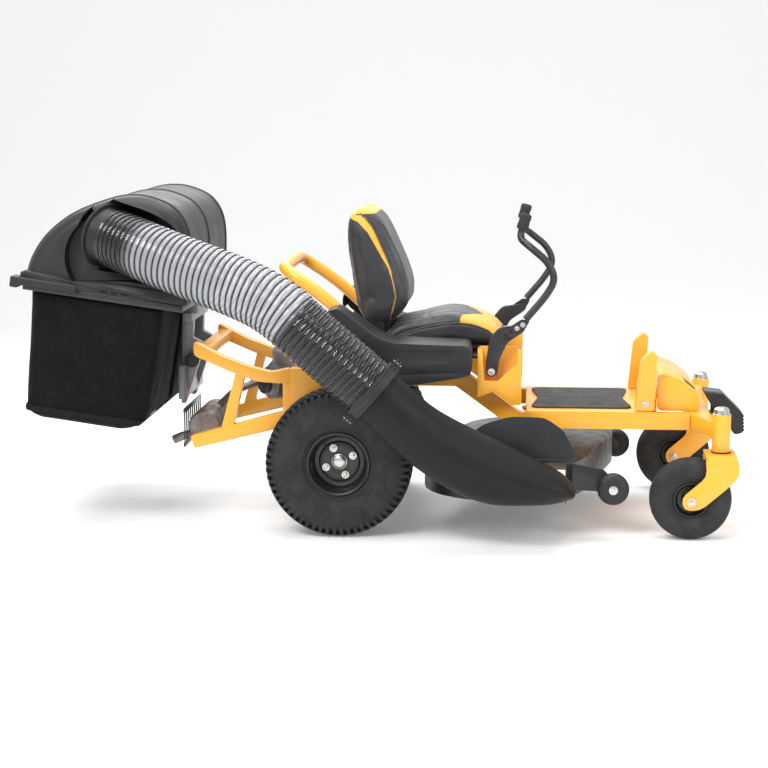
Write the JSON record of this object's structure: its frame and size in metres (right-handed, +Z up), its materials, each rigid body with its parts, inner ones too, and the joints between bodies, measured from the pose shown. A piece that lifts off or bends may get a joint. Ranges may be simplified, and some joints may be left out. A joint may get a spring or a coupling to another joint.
{
  "type": "zero turn mower",
  "caption": "Ride-on zero turn mower with steering levers, rear drive wheels and front casters, fitted with a twin bag grass catcher, hose and side chute.",
  "frame": {"origin": "on the ground under the middle of the whole machine", "axes": "+X forwards, +Y to the left of the driver, +Z up"},
  "size_m": [2.5366, 1.36, 1.1649],
  "materials": {
    "yellow_paint": "gloss powder coat",
    "black_paint": "satin black paint",
    "black_plastic": "textured moulding",
    "grey_steel": "satin",
    "tyre_rubber": "matte",
    "soft_rubber": "matte",
    "seat_vinyl": "grained",
    "bag_fabric": "woven",
    "clear_hose": "clear with a black helix",
    "cast_alloy": "cast"
  },
  "bodies": {
    "chassis": {"bag_frame": "black_paint", "bagger_hose": "clear_hose", "bagger_mast": "grey_steel", "console_left": "yellow_paint", "console_right": "yellow_paint", "drive_unit_left": "cast_alloy", "drive_unit_right": "cast_alloy", "engine": "black_plastic", "engine_plate": "black_paint", "fender_left": "black_plastic", "fender_right": "black_plastic", "floor_pan": "yellow_paint", "foot_mat": "soft_rubber", "frame_rail_left": "yellow_paint", "frame_rail_right": "yellow_paint", "front_beam": "yellow_paint", "front_cowl": "yellow_paint", "hood": "black_plastic", "muffler": "grey_steel", "rear_crossbar": "yellow_paint", "rear_guard_left": "yellow_paint", "rear_guard_right": "yellow_paint", "seat_hoop": "yellow_paint", "seat_mount": "black_paint", "upright_left": "yellow_paint", "upright_right": "yellow_paint"},
    "deck": {"deck_shell": "black_paint", "bagger_chute": "black_plastic", "hose_clamp": "black_plastic"},
    "deflector": {"chute_deflector": "black_plastic"},
    "pulley": {"engine_pulley": "grey_steel"},
    "pedal": {"lift_pedal": "black_paint"},
    "seat_plate": {"seat_base": "black_paint"},
    "seat": {"seat_cushion": "seat_vinyl", "seat_back": "seat_vinyl"},
    "latch": {"hood_latch": "black_plastic"},
    "rear_wheel_right": {"rear_rim_right": "black_paint", "rear_tyre_right": "tyre_rubber"},
    "caster_right": {"caster_fork_right": "yellow_paint"},
    "caster_wheel_right": {"caster_rim_right": "black_paint", "caster_tyre_right": "tyre_rubber"},
    "blade_drive_right": {"spindle_right": "grey_steel", "blade_right": "grey_steel"},
    "roller_right": {"antiscalp_wheel_right": "black_plastic"},
    "lever_right": {"lever_bracket_right": "black_paint"},
    "lap_right": {"lap_bar_right": "black_paint", "grip_right": "soft_rubber"},
    "grass_bag_right": {"bag_right": "bag_fabric"},
    "rear_wheel_left": {"rear_rim_left": "black_paint", "rear_tyre_left": "tyre_rubber"},
    "caster_left": {"caster_fork_left": "yellow_paint"},
    "caster_wheel_left": {"caster_rim_left": "black_paint", "caster_tyre_left": "tyre_rubber"},
    "blade_drive_left": {"spindle_left": "grey_steel", "blade_left": "grey_steel"},
    "roller_left": {"antiscalp_wheel_left": "black_plastic"},
    "lever_left": {"lever_bracket_left": "black_paint"},
    "lap_left": {"lap_bar_left": "black_paint", "grip_left": "soft_rubber"},
    "grass_bag_left": {"bag_left": "bag_fabric"}
  },
  "joints": [
    {"name": "rear_wheel_right_spin", "type": "hinge", "parent": "chassis", "child": "rear_wheel_right", "pos_m": [-0.13624, -0.297, 0.254], "axis": [0, 1, 0], "continuous": true},
    {"name": "caster_right_swivel", "type": "hinge", "parent": "chassis", "child": "caster_right", "pos_m": [1.16876, -0.305, 0.37], "axis": [0, 0, 1], "continuous": true},
    {"name": "caster_wheel_right_spin", "type": "hinge", "parent": "caster_right", "child": "caster_wheel_right", "pos_m": [1.06876, -0.305, 0.14], "axis": [0, 1, 0], "continuous": true},
    {"name": "lever_right_drive", "type": "hinge", "parent": "chassis", "child": "lever_right", "pos_m": [0.38376, -0.20915, 0.56], "axis": [0, 1, 0], "range_deg": [-12, 15]},
    {"name": "lap_right_swing", "type": "hinge", "parent": "lever_right", "child": "lap_right", "pos_m": [0.46376, -0.21765, 0.667], "axis": [1, 0, 0], "range_deg": [0, 60]},
    {"name": "bag_right_out", "type": "slide", "parent": "chassis", "child": "grass_bag_right", "axis": [-0.9903, 0, 0.1392], "range_m": [0, 0.5]},
    {"name": "rear_wheel_left_spin", "type": "hinge", "parent": "chassis", "child": "rear_wheel_left", "pos_m": [-0.13624, 0.563, 0.254], "axis": [0, 1, 0], "continuous": true},
    {"name": "caster_left_swivel", "type": "hinge", "parent": "chassis", "child": "caster_left", "pos_m": [1.16876, 0.571, 0.37], "axis": [0, 0, 1], "continuous": true},
    {"name": "caster_wheel_left_spin", "type": "hinge", "parent": "caster_left", "child": "caster_wheel_left", "pos_m": [1.06876, 0.571, 0.14], "axis": [0, 1, 0], "continuous": true},
    {"name": "lever_left_drive", "type": "hinge", "parent": "chassis", "child": "lever_left", "pos_m": [0.38376, 0.47515, 0.56], "axis": [0, 1, 0], "range_deg": [-12, 15]},
    {"name": "lap_left_swing", "type": "hinge", "parent": "lever_left", "child": "lap_left", "pos_m": [0.46376, 0.48365, 0.667], "axis": [-1, 0, 0], "range_deg": [0, 60]},
    {"name": "bag_left_out", "type": "slide", "parent": "chassis", "child": "grass_bag_left", "axis": [-0.9903, 0, 0.1392], "range_m": [0, 0.5]},
    {"name": "seat_tilt", "type": "hinge", "parent": "chassis", "child": "seat_plate", "pos_m": [0.38376, 0.133, 0.622], "axis": [0, 1, 0], "range_deg": [0, 60]},
    {"name": "seat_slide", "type": "slide", "parent": "seat_plate", "child": "seat", "axis": [1, 0, 0], "range_m": [-0.03, 0.05]},
    {"name": "deck_lift", "type": "slide", "parent": "chassis", "child": "deck", "axis": [0, 0, 1], "range_m": [-0.085, 0], "deforming": ["bagger_hose"]},
    {"name": "pedal_swing", "type": "hinge", "parent": "chassis", "child": "pedal", "pos_m": [1.16076, -0.017, 0.385], "axis": [0, 1, 0], "range_deg": [-20, 0]},
    {"name": "deflector_swing", "type": "hinge", "parent": "deck", "child": "deflector", "pos_m": [0.48576, -0.4345, 0.288], "axis": [-1, 0, 0], "range_deg": [0, 20]},
    {"name": "blade_right_spin", "type": "hinge", "parent": "deck", "child": "blade_drive_right", "pos_m": [0.43376, -0.129, 0.15], "axis": [0, 0, 1], "continuous": true},
    {"name": "roller_right_spin", "type": "hinge", "parent": "deck", "child": "roller_right", "pos_m": [0.80476, -0.329, 0.172], "axis": [0, 1, 0], "continuous": true},
    {"name": "blade_left_spin", "type": "hinge", "parent": "deck", "child": "blade_drive_left", "pos_m": [0.54376, 0.395, 0.15], "axis": [0, 0, 1], "continuous": true},
    {"name": "roller_left_spin", "type": "hinge", "parent": "deck", "child": "roller_left", "pos_m": [0.84876, 0.595, 0.172], "axis": [0, 1, 0], "continuous": true},
    {"name": "pulley_spin", "type": "hinge", "parent": "chassis", "child": "pulley", "pos_m": [-0.26624, 0.133, 0.373], "axis": [0, 0, 1], "continuous": true},
    {"name": "latch_swing", "type": "hinge", "parent": "chassis", "child": "latch", "pos_m": [-1.05247, -0.356, 0.84989], "axis": [0, 1, 0], "range_deg": [0, 25]}
  ],
  "couplings": [
    {"joint": "pedal_swing", "follows": "deck_lift", "rad_per_m": 4.0967},
    {"joint": "blade_left_spin", "follows": "blade_right_spin", "ratio": 1},
    {"joint": "pulley_spin", "follows": "blade_right_spin", "ratio": 0.9355}
  ]
}
